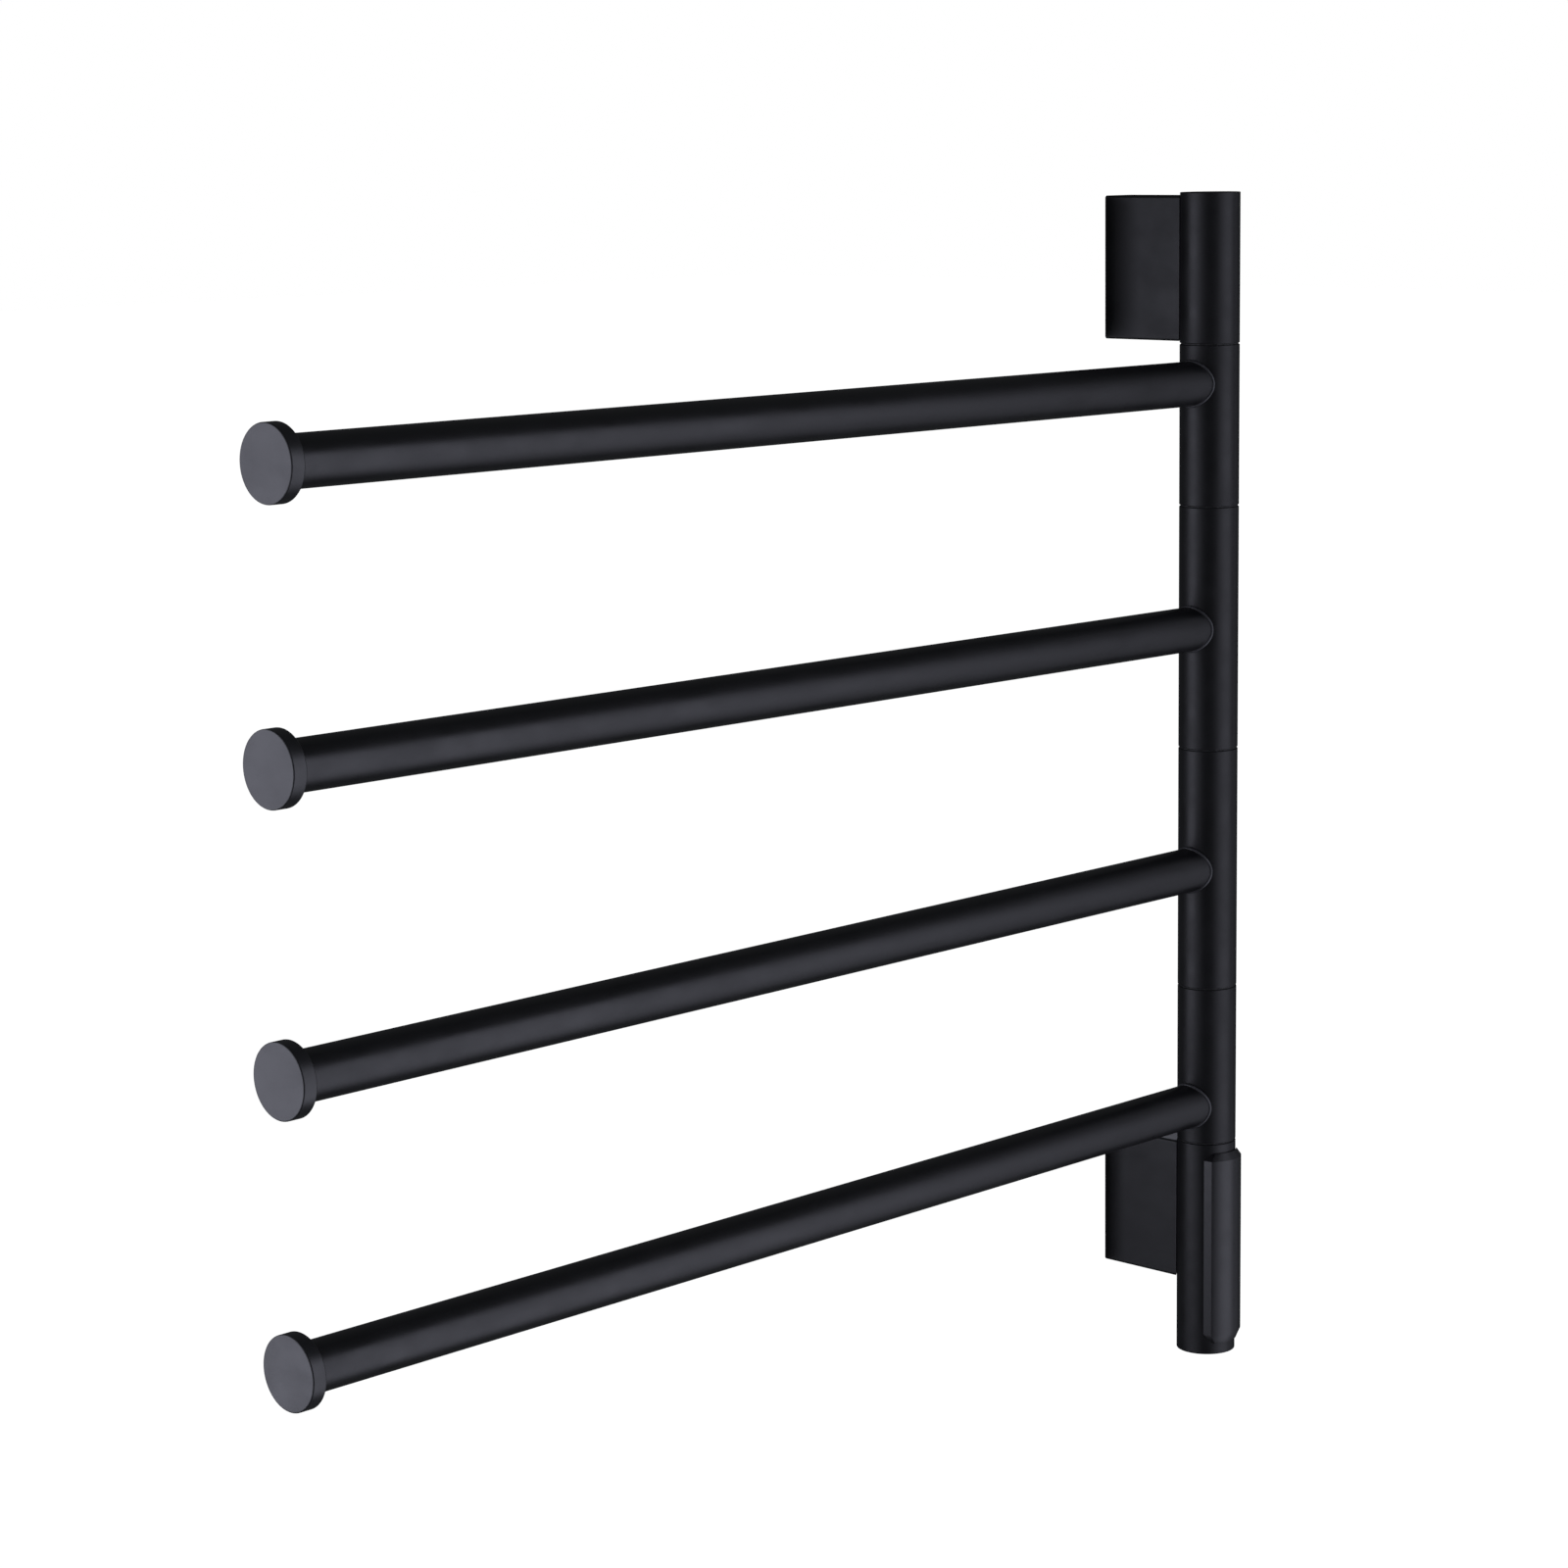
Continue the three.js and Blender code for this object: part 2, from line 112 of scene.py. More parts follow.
# Bracket blocks
BLOCK_ROUND = 1.2 * MM
BLOCK_EASE = 0.8 * MM
BLOCK_WALL = 2.5 * MM
BLOCK_FRONT = 10 * MM
SEAT_GAP = 0.3 * MM

# Wall plates and set screws
PLATE_THICKNESS = 3 * MM
PLATE_ROUND = 1.2 * MM
PLATE_EASE = 0.2 * MM
TONGUE_SIZE = (8 * MM, 15 * MM, 8 * MM)
TONGUE_LIFT = 3 * MM
HOLE_EDGE = 10 * MM
HOLE_R = 2.4 * MM
COUNTERSINK_R = 4.2 * MM
SET_SCREW_CLEARANCE = 0.3 * MM
SET_SCREW_EASE = 0.15 * MM
SET_SCREW_SIDES = 48
SOCKET_ACROSS = 2.5 * MM
SOCKET_DEPTH = 2.5 * MM
CUT_PAST = 1 * MM  # how far a cutting tool runs past the face it leaves by
HOLE_DEPTH = 1.5 * BLOCK_WALL  # of the set screw's hole, from the block's underside

# Screw cover
COVER_THICKNESS = 2.2 * MM
COVER_TOP_BEVEL = 3.1 * MM
COVER_FOOT_BEVEL = 4.3 * MM
COVER_SIDE_BEVEL = 1.5  # at both ends the sides come in by this much more than the face
COVER_EDGE = 0.35 * MM  # thickness left at its two ends
COVER_EASE = 0.2 * MM
COVER_DRAFT = 0.5 * MM  # its long edges lean in by this much from the column to its face
COVER_SLOT = "bar_coat"  # it has the bars' glossier coat
COVER_STEPS = 20

# Coat
COAT_SHADES = (0.84, 1.18)  # its darkest and lightest patches, against its own shade
COAT_MARKS = (-0.05, 0.07)  # what handling marks add to its roughness
COAT_WAVE = 0.012 * MM
COAT_PEEL = 0.006 * MM
BEAD_HIGHLIGHT_PATCHES = (0.3, 1.0)  # how much of the bead's painted highlight shows, from patch to patch

# Camera, about the column's axis
CAMERA_DISTANCE = 1.73488
CAMERA_BEARING = radians(51.567)  # from straight in front, towards the arms
CAMERA_RISE = 29 * MM  # above the column's top
CAMERA_HEADING = radians(45.520)  # from straight at the wall, away from the arms
CAMERA_PITCH = radians(-9.200)
CAMERA_ROLL = radians(-0.727)
CAMERA_LENS = 93.06
CAMERA_SENSOR = 36

cad_low, cad_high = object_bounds()
joint_at = {joint["child"]: Vector(joint["pos_m"]) for joint in frame["joints"]}
column_axis = Vector((joint_at["arm_1"].x, joint_at["arm_1"].y, 0))


def middle(node):
    low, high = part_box(node)
    return (low + high) / 2


def size(node):
    low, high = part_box(node)
    return high - low


column_r = size("upper_sleeve").x / 2
insert_r = size("top_plug").x / 2
cap_r = size("bar_cap_2").z / 2
set_screw_r = size("upper_set_screw").x / 2
column_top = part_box("upper_sleeve")[1].z


# --- finishes ---------------------------------------------------------------------------------

def new_material(name, **values):
    """A material with its Principled shader; values are shader sockets by name."""
    material = bpy.data.materials.new(name)
    material.use_nodes = True
    shader = material.node_tree.nodes["Principled BSDF"]
    for socket, value in values.items():
        shader.inputs[socket.replace("_", " ")].default_value = value
    return material, material.node_tree, shader


def object_noise(tree, scale, detail=2.0, stretch=(1, 1, 1)):
    """Noise on Object coordinates; scale is in features per metre."""
    place = tree.nodes.new("ShaderNodeTexCoord")
    mapping = tree.nodes.new("ShaderNodeMapping")
    noise = tree.nodes.new("ShaderNodeTexNoise")
    mapping.inputs["Scale"].default_value = stretch
    noise.inputs["Scale"].default_value = scale
    noise.inputs["Detail"].default_value = detail
    tree.links.new(place.outputs["Object"], mapping.inputs["Vector"])
    tree.links.new(mapping.outputs["Vector"], noise.inputs["Vector"])
    return noise.outputs["Fac"]


def ranged(tree, factor, low, high, start=0.3, end=0.7):
    """factor from start to end, mapped to low to high."""
    node = tree.nodes.new("ShaderNodeMapRange")
    node.inputs["From Min"].default_value = start
    node.inputs["From Max"].default_value = end
    node.inputs["To Min"].default_value = low
    node.inputs["To Max"].default_value = high
    tree.links.new(factor, node.inputs["Value"])
    return node.outputs["Result"]


def blended(tree, factor, first, second):
    """A colour between first and second by factor."""
    node = tree.nodes.new("ShaderNodeMix")
    node.data_type = "RGBA"
    node.inputs["A"].default_value = (*first, 1)
    node.inputs["B"].default_value = (*second, 1)
    tree.links.new(factor, node.inputs["Factor"])
    return node.outputs["Result"]


def bumped(tree, shader, height, distance, strength=1.0, under=None):
    """Adds a bump of that height field, over another bump if one is given."""
    node = tree.nodes.new("ShaderNodeBump")
    node.inputs["Distance"].default_value = distance
    node.inputs["Strength"].default_value = strength
    tree.links.new(height, node.inputs["Height"])
    if under is not None:
        tree.links.new(under, node.inputs["Normal"])
    tree.links.new(node.outputs["Normal"], shader.inputs["Normal"])
    return node.outputs["Normal"]


def painted_highlight_on_bead(tree, colour, bead_highlight_shade):
    """The colour, with a painted highlight, a paler colour, in patches on the faces that the bead mark
    names.
    """
    on_bead = tree.nodes.new("ShaderNodeAttribute")
    patchy = tree.nodes.new("ShaderNodeMath")
    paler = tree.nodes.new("ShaderNodeMix")
    on_bead.attribute_name = BEAD_MARK
    patchy.operation = "MULTIPLY"
    paler.data_type = "RGBA"
    paler.inputs["B"].default_value = (*bead_highlight_shade, 1)
    tree.links.new(on_bead.outputs["Fac"], patchy.inputs[0])
    tree.links.new(ranged(tree, object_noise(tree, scale=210), *BEAD_HIGHLIGHT_PATCHES), patchy.inputs[1])
    tree.links.new(patchy.outputs["Value"], paler.inputs["Factor"])
    tree.links.new(colour, paler.inputs["A"])
    return paler.outputs["Result"]


def powder_coat(name, shade, roughness, gloss=0.5, bead_highlight_shade=None):
    """Satin powder coat: a fine orange peel, a faint slow wave, and handling marks in the gloss.

    The bead colour, when given, is a painted highlight: a paler colour on the weld bead in place of the
    light it catches."""
    material, tree, shader = new_material(name, Metallic=0.0, IOR=1.5, Specular_IOR_Level=gloss)
    cloud = object_noise(tree, scale=38, detail=3)
    dark, light = (tuple(share * value for value in shade) for share in COAT_SHADES)
    colour = blended(tree, ranged(tree, cloud, low=0, high=1), dark, light)
    # painted highlight on the weld bead
    if bead_highlight_shade is not None:
        colour = painted_highlight_on_bead(tree, colour, bead_highlight_shade)
    tree.links.new(colour, shader.inputs["Base Color"])
    marks = object_noise(tree, scale=60, detail=4, stretch=(1, 1, 1.6))
    smoothest, roughest = (roughness + change for change in COAT_MARKS)
    tree.links.new(ranged(tree, marks, smoothest, roughest), shader.inputs["Roughness"])
    wave = bumped(tree, shader, object_noise(tree, scale=260, detail=1), COAT_WAVE)
    bumped(tree, shader, object_noise(tree, scale=2600, detail=2), COAT_PEEL, under=wave)
    return material


def turned_steel():
    """Bright steel with fine rings from turning along its length."""
    material, tree, shader = new_material("turned steel", Metallic=1.0)
    lines = object_noise(tree, scale=900, stretch=(0.06, 0.06, 1))
    colour = blended(
        tree, ranged(tree, lines, low=0, high=1), first=(0.46, 0.47, 0.49), second=(0.63, 0.64, 0.66)
    )
    tree.links.new(colour, shader.inputs["Base Color"])
    tree.links.new(ranged(tree, lines, low=0.24, high=0.38), shader.inputs["Roughness"])
    bumped(tree, shader, lines, distance=0.01 * MM)
    return material


def zinc_plate():
    """Zinc plating with faint crystal patches and a slight straw tint."""
    material, tree, shader = new_material("zinc plate", Metallic=1.0)
    place = tree.nodes.new("ShaderNodeTexCoord")
    patches = tree.nodes.new("ShaderNodeTexVoronoi")
    patches.inputs["Scale"].default_value = 420
    tree.links.new(place.outputs["Object"], patches.inputs["Vector"])
    tint = ranged(tree, patches.outputs["Distance"], low=0, high=1, start=0.1, end=0.7)
    colour = blended(tree, tint, first=(0.60, 0.59, 0.53), second=(0.70, 0.70, 0.68))
    tree.links.new(colour, shader.inputs["Base Color"])
    roughness = ranged(tree, tint, low=0.34, high=0.46, start=0, end=1)
    tree.links.new(roughness, shader.inputs["Roughness"])
    bumped(tree, shader, object_noise(tree, scale=1500, detail=3), distance=0.008 * MM)
    return material


def moulded_nylon():
    """Black nylon with a fine mould grain."""
    material, tree, shader = new_material("moulded nylon", IOR=1.53)
    grain = object_noise(tree, scale=1800, detail=3)
    colour = blended(tree, grain, first=(0.014, 0.014, 0.014), second=(0.026, 0.026, 0.027))
    tree.links.new(colour, shader.inputs["Base Color"])
    tree.links.new(ranged(tree, grain, low=0.5, high=0.62), shader.inputs["Roughness"])
    bumped(tree, shader, grain, distance=0.02 * MM)
    return material


FINISHES = {
    "column_coat": powder_coat("column powder coat", (0.0065, 0.0065, 0.0075), 0.40, gloss=0.47),
    # the bars' coat carries the painted highlight on the weld bead
    "bar_coat": powder_coat(
        "bar powder coat", (0.0065, 0.0065, 0.0078), 0.36, gloss=0.72, bead_highlight_shade=BEAD_HIGHLIGHT_SHADE
    ),
    "cap_coat": powder_coat("cap powder coat", (0.012, 0.0122, 0.014), 0.36, gloss=0.85),
    "block_coat": powder_coat("bracket powder coat", (0.0075, 0.0075, 0.008), 0.44),
    "bright_steel": turned_steel(),
    "plated_steel": zinc_plate(),
    "black_nylon": moulded_nylon(),
}
slot_of = {part["node"]: part["material_slot"] for part in frame["record"]["subparts"]}


# --- node trees -------------------------------------------------------------------------------

class Tree:
    """A Geometry Nodes tree with named size inputs, ending in Realize Instances and Set Material."""

    def __init__(self, name, lengths, counts=()):
        self.group = bpy.data.node_groups.new(name, "GeometryNodeTree")
        sockets = self.group.interface
        for label in lengths:
            sockets.new_socket(label, in_out="INPUT", socket_type="NodeSocketFloat")
        for label in counts:
            sockets.new_socket(label, in_out="INPUT", socket_type="NodeSocketInt")
        sockets.new_socket("Material", in_out="INPUT", socket_type="NodeSocketMaterial")
        sockets.new_socket("Mesh", in_out="OUTPUT", socket_type="NodeSocketGeometry")
        self.given = self.group.nodes.new("NodeGroupInput").outputs

    def add(self, kind, inputs, **settings):
        """A node of that kind; inputs are by socket name or number, a value or another node's output."""
        node = self.group.nodes.new(kind)
        for key, value in settings.items():
            setattr(node, key, value)
        for socket, value in inputs.items():
            if isinstance(value, bpy.types.NodeSocket):
                self.group.links.new(value, node.inputs[socket])
            else:
                node.inputs[socket].default_value = value
        return node.outputs

    def maths(self, operation, *values):
        return self.add("ShaderNodeMath", dict(enumerate(values)), operation=operation)[0]

    def vector(self, x=0.0, y=0.0, z=0.0):
        return self.add("ShaderNodeCombineXYZ", {"X": x, "Y": y, "Z": z})[0]

    def finish(self, mesh):
        real = self.add("GeometryNodeRealizeInstances", {"Geometry": mesh})[0]
        smooth = self.add("GeometryNodeSetShadeSmooth", {"Geometry": real})[0]
        turn = self.add("GeometryNodeInputMeshEdgeAngle", {})[0]
        corner = self.add(
            "FunctionNodeCompare", {"A": turn, "B": SHARP_TURN}, operation="GREATER_THAN"
        )[0]
        corners = {"Geometry": smooth, "Selection": corner, "Shade Smooth": False}
        edged = self.add("GeometryNodeSetShadeSmooth", corners, domain="EDGE")[0]
        coating = {"Geometry": edged, "Material": self.given["Material"]}
        coated = self.add("GeometryNodeSetMaterial", coating)[0]
        end = self.group.nodes.new("NodeGroupOutput")
        self.group.links.new(coated, end.inputs["Mesh"])
        return self.group


def stood_up(tree, mesh):
    """The mesh, made about its middle, moved up to reach from Z = 0 to Length."""
    lift = tree.vector(z=tree.maths("MULTIPLY", tree.given["Length"], 0.5))
    return tree.add("GeometryNodeTransform", {"Geometry": mesh, "Translation": lift})[0]


def eased_ring(tree):
    """A tube about Z, from Z = 0 up to Length, with every edge rounded by Ease."""
    given = tree.given
    wall = tree.maths("SUBTRACT", given["Outer Radius"], given["Bore Radius"])
    both = tree.maths("ADD", given["Outer Radius"], given["Bore Radius"])
    between = tree.maths("MULTIPLY", both, 0.5)
    section_size = {"Width": wall, "Height": given["Length"]}
    section = tree.add("GeometryNodeCurvePrimitiveQuadrilateral", section_size)[0]
    rounding = {"Curve": section, "Count": EASE_STEPS, "Radius": given["Ease"]}
    eased = tree.add("GeometryNodeFilletCurve", rounding, mode="POLY")[0]
    circle_size = {"Resolution": given["Sides"], "Radius": between}
    circle = tree.add("GeometryNodeCurvePrimitiveCircle", circle_size)[0]
    path = tree.add("GeometryNodeSetCurveNormal", {"Curve": circle}, mode="Z_UP")[0]
    swept = tree.add("GeometryNodeCurveToMesh", {"Curve": path, "Profile Curve": eased})[0]
    return stood_up(tree, swept)


def tube_tree():
    tree = Tree("Eased tube", ("Outer Radius", "Bore Radius", "Length", "Ease"), ("Sides",))
    return tree.finish(eased_ring(tree))


def saddle_bar_tree():
    """A tube whose first end sits on a column along X, Saddle Radius away, with a bead round it."""
    lengths = ("Outer Radius", "Bore Radius", "Length", "Ease", "Saddle Radius", "Bead Radius")
    tree = Tree("Saddle bar", lengths, ("Sides",))
    given = tree.given
    straight = eased_ring(tree)
    place = tree.add("ShaderNodeSeparateXYZ", {0: tree.add("GeometryNodeInputPosition", {})[0]})
    half = tree.maths("MULTIPLY", given["Length"], 0.5)
    first_end = tree.add("FunctionNodeCompare", {"A": place["Z"], "B": half}, operation="LESS_THAN")[0]
    square = tree.maths("MULTIPLY", given["Saddle Radius"], given["Saddle Radius"])
    across = tree.maths("MULTIPLY", place["Y"], place["Y"])
    chord = tree.maths("SQRT", tree.maths("SUBTRACT", square, across))
    rise = tree.vector(z=chord)
    shaped = tree.add(
        "GeometryNodeSetPosition", {"Geometry": straight, "Selection": first_end, "Offset": rise}
    )[0]
    sunk = tree.maths("MULTIPLY", given["Bead Radius"], BEAD_SINK)
    ring_size = {
        "Resolution": given["Sides"],
        "Radius": tree.maths("SUBTRACT", given["Outer Radius"], sunk),
    }
    ring = tree.add("GeometryNodeCurvePrimitiveCircle", ring_size)[0]
    bead_rise = tree.vector(z=tree.maths("ADD", chord, given["Bead Radius"]))
    lifted = tree.add("GeometryNodeSetPosition", {"Geometry": ring, "Offset": bead_rise})[0]
    bead_size = {"Resolution": BEAD_SIDES, "Radius": given["Bead Radius"]}
    round_section = tree.add("GeometryNodeCurvePrimitiveCircle", bead_size)[0]
    swept = {"Curve": lifted, "Profile Curve": round_section}
    bare_bead = tree.add("GeometryNodeCurveToMesh", swept)[0]
    mark = {"Geometry": bare_bead, "Name": BEAD_MARK, "Value": 1.0}
    bead = tree.add("GeometryNodeStoreNamedAttribute", mark, data_type="FLOAT", domain="FACE")[0]
    joined = tree.add("GeometryNodeMeshBoolean", {1: shaped}, operation="UNION", solver="EXACT")[0]
    tree.group.links.new(bead, joined.node.inputs[1])
    return tree.finish(joined)


def disc_tree():
    """A solid disc about Z, from Z = 0 up to Length."""
    tree = Tree("Disc", ("Outer Radius", "Length"), ("Sides",))
    given = tree.given
    disc_size = {"Vertices": given["Sides"], "Radius": given["Outer Radius"], "Depth": given["Length"]}
    return tree.finish(stood_up(tree, tree.add("GeometryNodeMeshCylinder", disc_size)[0]))


def socket_screw_tree():
    """A headless screw about Z, from Z = 0 up to Length, with a hexagon socket in its lower end."""
    tree = Tree("Socket screw", ("Outer Radius", "Length", "Socket Radius", "Socket Depth"), ("Sides",))
    given = tree.given
    shank_size = {"Vertices": given["Sides"], "Radius": given["Outer Radius"], "Depth": given["Length"]}
    shank = tree.add("GeometryNodeMeshCylinder", shank_size)[0]
    deep = tree.maths("MULTIPLY", given["Socket Depth"], 2)
    socket_size = {"Vertices": 6, "Radius": given["Socket Radius"], "Depth": deep}
    hexagon = tree.add("GeometryNodeMeshCylinder", socket_size)[0]
    low = tree.vector(z=tree.maths("MULTIPLY", given["Length"], -0.5))
    tool = tree.add("GeometryNodeTransform", {"Geometry": hexagon, "Translation": low})[0]
    both = {0: shank, 1: tool}
    cut = tree.add("GeometryNodeMeshBoolean", both, operation="DIFFERENCE", solver="EXACT")[0]
    return tree.finish(stood_up(tree, cut))


# --- making a piece ---------------------------------------------------------------------------

def add_bevel(piece, width):
    bevel = piece.modifiers.new("bevel", "BEVEL")
    bevel.width = width
    bevel.segments = BEVEL_STEPS
    bevel.limit_method = "ANGLE"
    bevel.angle_limit = BEVEL_FROM


def made_plain(piece):
    """Turns what the piece's modifiers make of it into its own mesh."""
    mesh = bpy.data.meshes.new_from_object(piece.evaluated_get(bpy.context.evaluated_depsgraph_get()))
    piece.modifiers.clear()
    piece.data = mesh


def finished(piece, node, body):
    """Makes the piece's modifiers real, lets it ride on its body and stand for its solid."""
    weighted = piece.modifiers.new("weighted", "WEIGHTED_NORMAL")
    weighted.keep_sharp = True
    made_plain(piece)
    piece.data.name = piece.name
    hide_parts(node)
    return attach(piece, body)


def new_piece(name, mesh):
    piece = bpy.data.objects.new(name, mesh)
    bpy.context.scene.collection.objects.link(piece)
    return piece


def grown(name, tree, node, values):
    """A new object with that tree as its modifier; values are the tree's inputs by label."""
    piece = new_piece(name, bpy.data.meshes.new(name))
    modifier = piece.modifiers.new("nodes", "NODES")
    modifier.node_group = tree
    given = {item.name: item.identifier for item in tree.interface.items_tree if item.in_out == "INPUT"}
    for label, value in values.items():
        modifier[given[label]] = value
    modifier[given["Material"]] = FINISHES[slot_of[node]]
    return piece


def placed(piece, matrix):
    """Moves the mesh, so that the object itself stays at the origin."""
    piece.data.transform(matrix)
    piece.data.update()
    return piece


def built(name, shape, slot):
    """A new object in that slot's finish, from a bmesh of closed faces."""
    bmesh.ops.recalc_face_normals(shape, faces=shape.faces)
    for face in shape.faces:
        face.smooth = True
    mesh = bpy.data.meshes.new(name)
    shape.to_mesh(mesh)
    shape.free()
    mesh.materials.append(FINISHES[slot])
    return new_piece(name, mesh)


# --- column -----------------------------------------------------------------------------------

def tube_piece(tree, name, node, body):
    """A sleeve or hub over its solid, a little longer at a joint line."""
    low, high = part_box(node)
    foot = low.z - (0 if node == "lower_sleeve" else SEAM_CLOSE)
    top = high.z + (0 if node == "upper_sleeve" else SEAM_CLOSE)
    values = {
        "Outer Radius": column_r, "Bore Radius": column_r - COLUMN_WALL, "Length": top - foot,
        "Ease": TUBE_EASE, "Sides": COLUMN_SIDES,
    }
    piece = finished(grown(name, tree, node, values), node, body)
    return placed(piece, Matrix.Translation((column_axis.x, column_axis.y, foot)))


def plug_piece(tree, name, node):
    """A plug pressed into the column's end."""
    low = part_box(node)[0]
    values = {"Outer Radius": insert_r, "Length": size(node).z, "Sides": COLUMN_SIDES}
    piece = grown(name, tree, node, values)
    add_bevel(piece, PLUG_EASE)
    place = Matrix.Translation((column_axis.x, column_axis.y, low.z))
    return placed(finished(piece, node, "root"), place)


def make_column():
    tubes = tube_tree()
    discs = disc_tree()
    tube_piece(tubes, "upper_sleeve_tube", "upper_sleeve", "root")
    tube_piece(tubes, "lower_sleeve_tube", "lower_sleeve", "root")
    for arm in ARMS:
        tube_piece(tubes, f"hub_{arm}_tube", f"hub_{arm}", f"arm_{arm}")
    plug_piece(discs, "top_end_plug", "top_plug")
    plug_piece(discs, "bottom_end_plug", "bottom_plug")


# --- arms -------------------------------------------------------------------------------------

def arm_frame(arm):
    """The arm's own frame at rest, from the column's axis with Z out along the bar, and its reach."""
    start = joint_at[f"arm_{arm}"]
    points = [vertex.co for vertex in frame["nodes"][f"bar_{arm}"].data.vertices]
    on_axis = sum(points, Vector()) / len(points)
    out = (on_axis - start).normalized()
    side = out.cross(Vector((0, 0, 1))).normalized()
    up = side.cross(out)
    turned = Matrix((up, side, out)).transposed().to_4x4()
    cap = frame["nodes"][f"bar_cap_{arm}"].data
    reach = max((vertex.co - start).dot(out) for vertex in cap.vertices)
    return Matrix.Translation(start) @ turned, reach


def bar_piece(tree, arm):
    matrix, reach = arm_frame(arm)
    node = f"bar_{arm}"
    bar_r = size("bar_2").z / 2
    values = {
        "Outer Radius": bar_r, "Bore Radius": bar_r - BAR_WALL, "Length": reach - CAP_THICKNESS,
        "Ease": SADDLE_EASE, "Saddle Radius": column_r + SADDLE_GAP, "Bead Radius": BEAD_R,
        "Sides": BAR_SIDES,
    }
    return placed(finished(grown(f"bar_{arm}_tube", tree, node, values), node, f"arm_{arm}"), matrix)


def cap_piece(tree, arm):
    matrix, reach = arm_frame(arm)
    node = f"bar_cap_{arm}"
    values = {"Outer Radius": cap_r, "Length": CAP_THICKNESS, "Sides": BAR_SIDES}
    piece = grown(f"bar_{arm}_disc_cap", tree, node, values)
    add_bevel(piece, CAP_EASE)
    back = Matrix.Translation((0, 0, reach - CAP_THICKNESS))
    return placed(finished(piece, node, f"arm_{arm}"), matrix @ back)


def make_arms():
    bars = saddle_bar_tree()
    caps = disc_tree()
    for arm in ARMS:
        bar_piece(bars, arm)
        cap_piece(caps, arm)


# --- brackets ---------------------------------------------------------------------------------

def rounded_outline(width, height, corner, steps_across=8, steps_round=5):
    """Points of a rounded rectangle in X and Z. Point i has the same X as point -1 - i."""
    half_w, half_h = width / 2, height / 2
    upper = []
    for i in range(steps_round + 1):
        angle = pi - i * pi / 2 / steps_round
        upper.append((-half_w + corner + corner * cos(angle), half_h - corner + corner * sin(angle)))
    for i in range(1, steps_across):
        upper.append((-half_w + corner + (width - 2 * corner) * i / steps_across, half_h))
    for i in range(steps_round + 1):
        angle = pi / 2 - i * pi / 2 / steps_round
        upper.append((half_w - corner + corner * cos(angle), half_h - corner + corner * sin(angle)))
    return upper + [(x, -z) for x, z in reversed(upper)]


def loop_of(shape, outline, depth, height):
    """Vertices of an outline at a depth from the wall; depth is a length or a function of X."""
    reach = depth if callable(depth) else lambda x: depth
    return [shape.verts.new((x, -reach(x), z + height)) for x, z in outline]


def bridge(shape, first, second):
    for i in range(len(first)):
        j = (i + 1) % len(first)
        shape.faces.new((first[i], first[j], second[j], second[i]))


def block_piece(name, node, plate):
    """A hollow block over its wall plate, open at the wall, with a round seat for the sleeve."""
    width, height = size(node).x, size(node).z
    level = middle(node).z
    standoff = -column_axis.y
    seat_r = column_r + SEAT_GAP
    outer = rounded_outline(width, height, BLOCK_ROUND)
    inner = rounded_outline(width - 2 * BLOCK_WALL, height - 2 * BLOCK_WALL, BLOCK_ROUND)
    shape = bmesh.new()
    outer_back = loop_of(shape, outer, 0, level)
    outer_front = loop_of(shape, outer, lambda x: standoff - sqrt(seat_r**2 - x**2), level)
    inner_back = loop_of(shape, inner, 0, level)
    inner_floor = loop_of(shape, inner, standoff - seat_r - BLOCK_FRONT, level)
    bridge(shape, outer_back, outer_front)
    bridge(shape, outer_back, inner_back)
    bridge(shape, inner_back, inner_floor)
    shape.faces.new(inner_floor)
    last = len(outer) - 1
    for i in range(len(outer) // 2 - 1):
        strip = (outer_front[i], outer_front[i + 1], outer_front[last - i - 1], outer_front[last - i])
        shape.faces.new(strip)
    piece = built(name, shape, slot_of[node])
    cut_set_screw_hole(piece, node, plate)
    add_bevel(piece, BLOCK_EASE)
    return finished(piece, node, "root")


def tool_from(name, shape):
    """An object to cut with or to join on, from a bmesh of closed faces."""
    bmesh.ops.recalc_face_normals(shape, faces=shape.faces)
    mesh = bpy.data.meshes.new(name)
    shape.to_mesh(mesh)
    shape.free()
    return new_piece(name, mesh)


def reshape(piece, tool, operation):
    """Cuts the tool out of the piece, or joins it on, and takes the tool away."""
    change = piece.modifiers.new("change", "BOOLEAN")
    change.operation = operation
    change.solver = "EXACT"
    change.object = tool
    bpy.context.view_layer.update()
    made_plain(piece)
    bpy.data.objects.remove(tool)


def round_tool(name, radii, stations, matrix):
    """A closed round tool about Z: radii[i] at stations[i]."""
    shape = bmesh.new()
    rings = []
    turns = [2 * pi * i / COLUMN_SIDES for i in range(COLUMN_SIDES)]
    for radius, station in zip(radii, stations):
        rings.append([shape.verts.new((radius * cos(t), radius * sin(t), station)) for t in turns])
    for first, second in zip(rings, rings[1:]):
        bridge(shape, first, second)
    shape.faces.new(rings[0])
    shape.faces.new(rings[-1])
    shape.transform(matrix)
    return tool_from(name, shape)


def cut_set_screw_hole(piece, node, screw):
    """The hole in a block's underside for its set screw."""
    place = middle(screw)
    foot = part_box(node)[0].z
    radius = set_screw_r + SET_SCREW_CLEARANCE
    where = Matrix.Translation((place.x, place.y, foot))
    tool = round_tool("hole", (radius, radius), (-BLOCK_WALL, HOLE_DEPTH), where)
    reshape(piece, tool, "DIFFERENCE")


